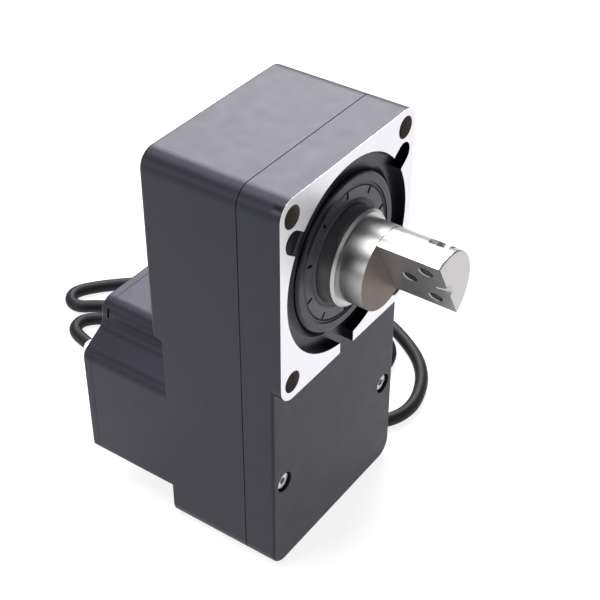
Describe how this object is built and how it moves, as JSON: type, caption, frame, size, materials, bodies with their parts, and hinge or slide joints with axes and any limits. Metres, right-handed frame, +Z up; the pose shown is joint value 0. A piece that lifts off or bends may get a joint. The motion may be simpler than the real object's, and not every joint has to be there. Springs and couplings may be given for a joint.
{
  "type": "offset gear motor",
  "caption": "Parallel-shaft gear reducer with a motor cast onto its rear, a square flanged face and a half-cut output shaft with cross holes.",
  "frame": {"origin": "the output shaft's axis at the bare mounting pad's face, which is the centre of the four mounting holes", "axes": "-Y along the output shaft, out of the pad; +Y towards the motor; +Z up, away from the motor; the gearbox stands on its low Z face"},
  "size_m": [0.1695, 0.2429, 0.1805],
  "materials": {
    "painted_casting": "fine-textured semi-matte powder coat over die-cast aluminium; the pad face and the bores are bare machined",
    "gasket": "thin black fibre gasket",
    "seal_rubber": "moulded nitrile rubber, satin",
    "ground_steel": "ground and turned",
    "bearing_steel": "polished bearing steel",
    "screw_steel": "bright zinc plated",
    "copper_winding": "enamelled copper wire",
    "magnet": "nickel-dark ferrite",
    "lamination": "stacked electrical steel",
    "board": "green solder mask",
    "cable_jacket": "black PVC, satin",
    "black_plastic": "moulded black nylon",
    "contact_brass": "plated contacts",
    "gear_steel": "hobbed and hardened steel, oiled"
  },
  "bodies": {
    "housing": {"cable": "cable_jacket", "cable_connector": "black_plastic", "cable_gland": "black_plastic", "connector_pins": "contact_brass", "cover_gasket": "gasket", "cover_screws": "screw_steel", "dowel_pins": "bearing_steel", "first_front_bearing_outer": "bearing_steel", "first_rear_bearing_outer": "bearing_steel", "front_bearing_snap_ring": "bearing_steel", "front_screws": "screw_steel", "front_shell": "painted_casting", "housing_gasket": "gasket", "motor_rear_cover": "painted_casting", "output_front_bearing_outer": "bearing_steel", "output_oil_seal": "seal_rubber", "output_rear_bearing_outer": "bearing_steel", "rear_housing": "painted_casting", "rotor_front_bearing_outer": "bearing_steel", "rotor_rear_bearing_outer": "bearing_steel", "second_front_bearing_outer": "bearing_steel", "second_rear_bearing_outer": "bearing_steel", "sensor_board": "board", "stator_coils": "copper_winding", "stator_core": "lamination", "strain_relief": "black_plastic", "wave_washer": "bearing_steel"},
    "output": {"output_front_bearing_balls": "bearing_steel", "output_front_bearing_inner": "bearing_steel", "output_gear": "gear_steel", "output_gear_snap_ring": "gear_steel", "output_key": "gear_steel", "output_rear_bearing_balls": "bearing_steel", "output_rear_bearing_inner": "bearing_steel", "output_shaft": "ground_steel"},
    "second_countershaft": {"second_front_bearing_balls": "bearing_steel", "second_front_bearing_inner": "bearing_steel", "second_gear": "gear_steel", "second_gear_key": "gear_steel", "second_rear_bearing_balls": "bearing_steel", "second_rear_bearing_inner": "bearing_steel", "second_shaft": "gear_steel"},
    "first_countershaft": {"first_front_bearing_balls": "bearing_steel", "first_front_bearing_inner": "bearing_steel", "first_gear": "gear_steel", "first_rear_bearing_balls": "bearing_steel", "first_rear_bearing_inner": "bearing_steel", "first_shaft": "gear_steel"},
    "rotor": {"rotor_core": "lamination", "rotor_front_bearing_balls": "bearing_steel", "rotor_front_bearing_inner": "bearing_steel", "rotor_magnets": "magnet", "rotor_rear_bearing_balls": "bearing_steel", "rotor_rear_bearing_inner": "bearing_steel", "rotor_shaft": "gear_steel"}
  },
  "joints": [
    {"name": "output_spin", "type": "hinge", "parent": "housing", "child": "output", "pos_m": [0, 0, 0], "axis": [0, 1, 0], "continuous": true},
    {"name": "second_spin", "type": "hinge", "parent": "housing", "child": "second_countershaft", "pos_m": [0, 0, -0.047], "axis": [0, 1, 0], "continuous": true},
    {"name": "first_spin", "type": "hinge", "parent": "housing", "child": "first_countershaft", "pos_m": [0.01863, 0, -0.07051], "axis": [0, 1, 0], "continuous": true},
    {"name": "rotor_spin", "type": "hinge", "parent": "housing", "child": "rotor", "pos_m": [0, 0, -0.084], "axis": [0, 1, 0], "continuous": true}
  ],
  "couplings": [
    {"joint": "second_spin", "follows": "output_spin", "ratio": -2.6154},
    {"joint": "first_spin", "follows": "output_spin", "ratio": 7.0414},
    {"joint": "rotor_spin", "follows": "output_spin", "ratio": -19.951}
  ]
}
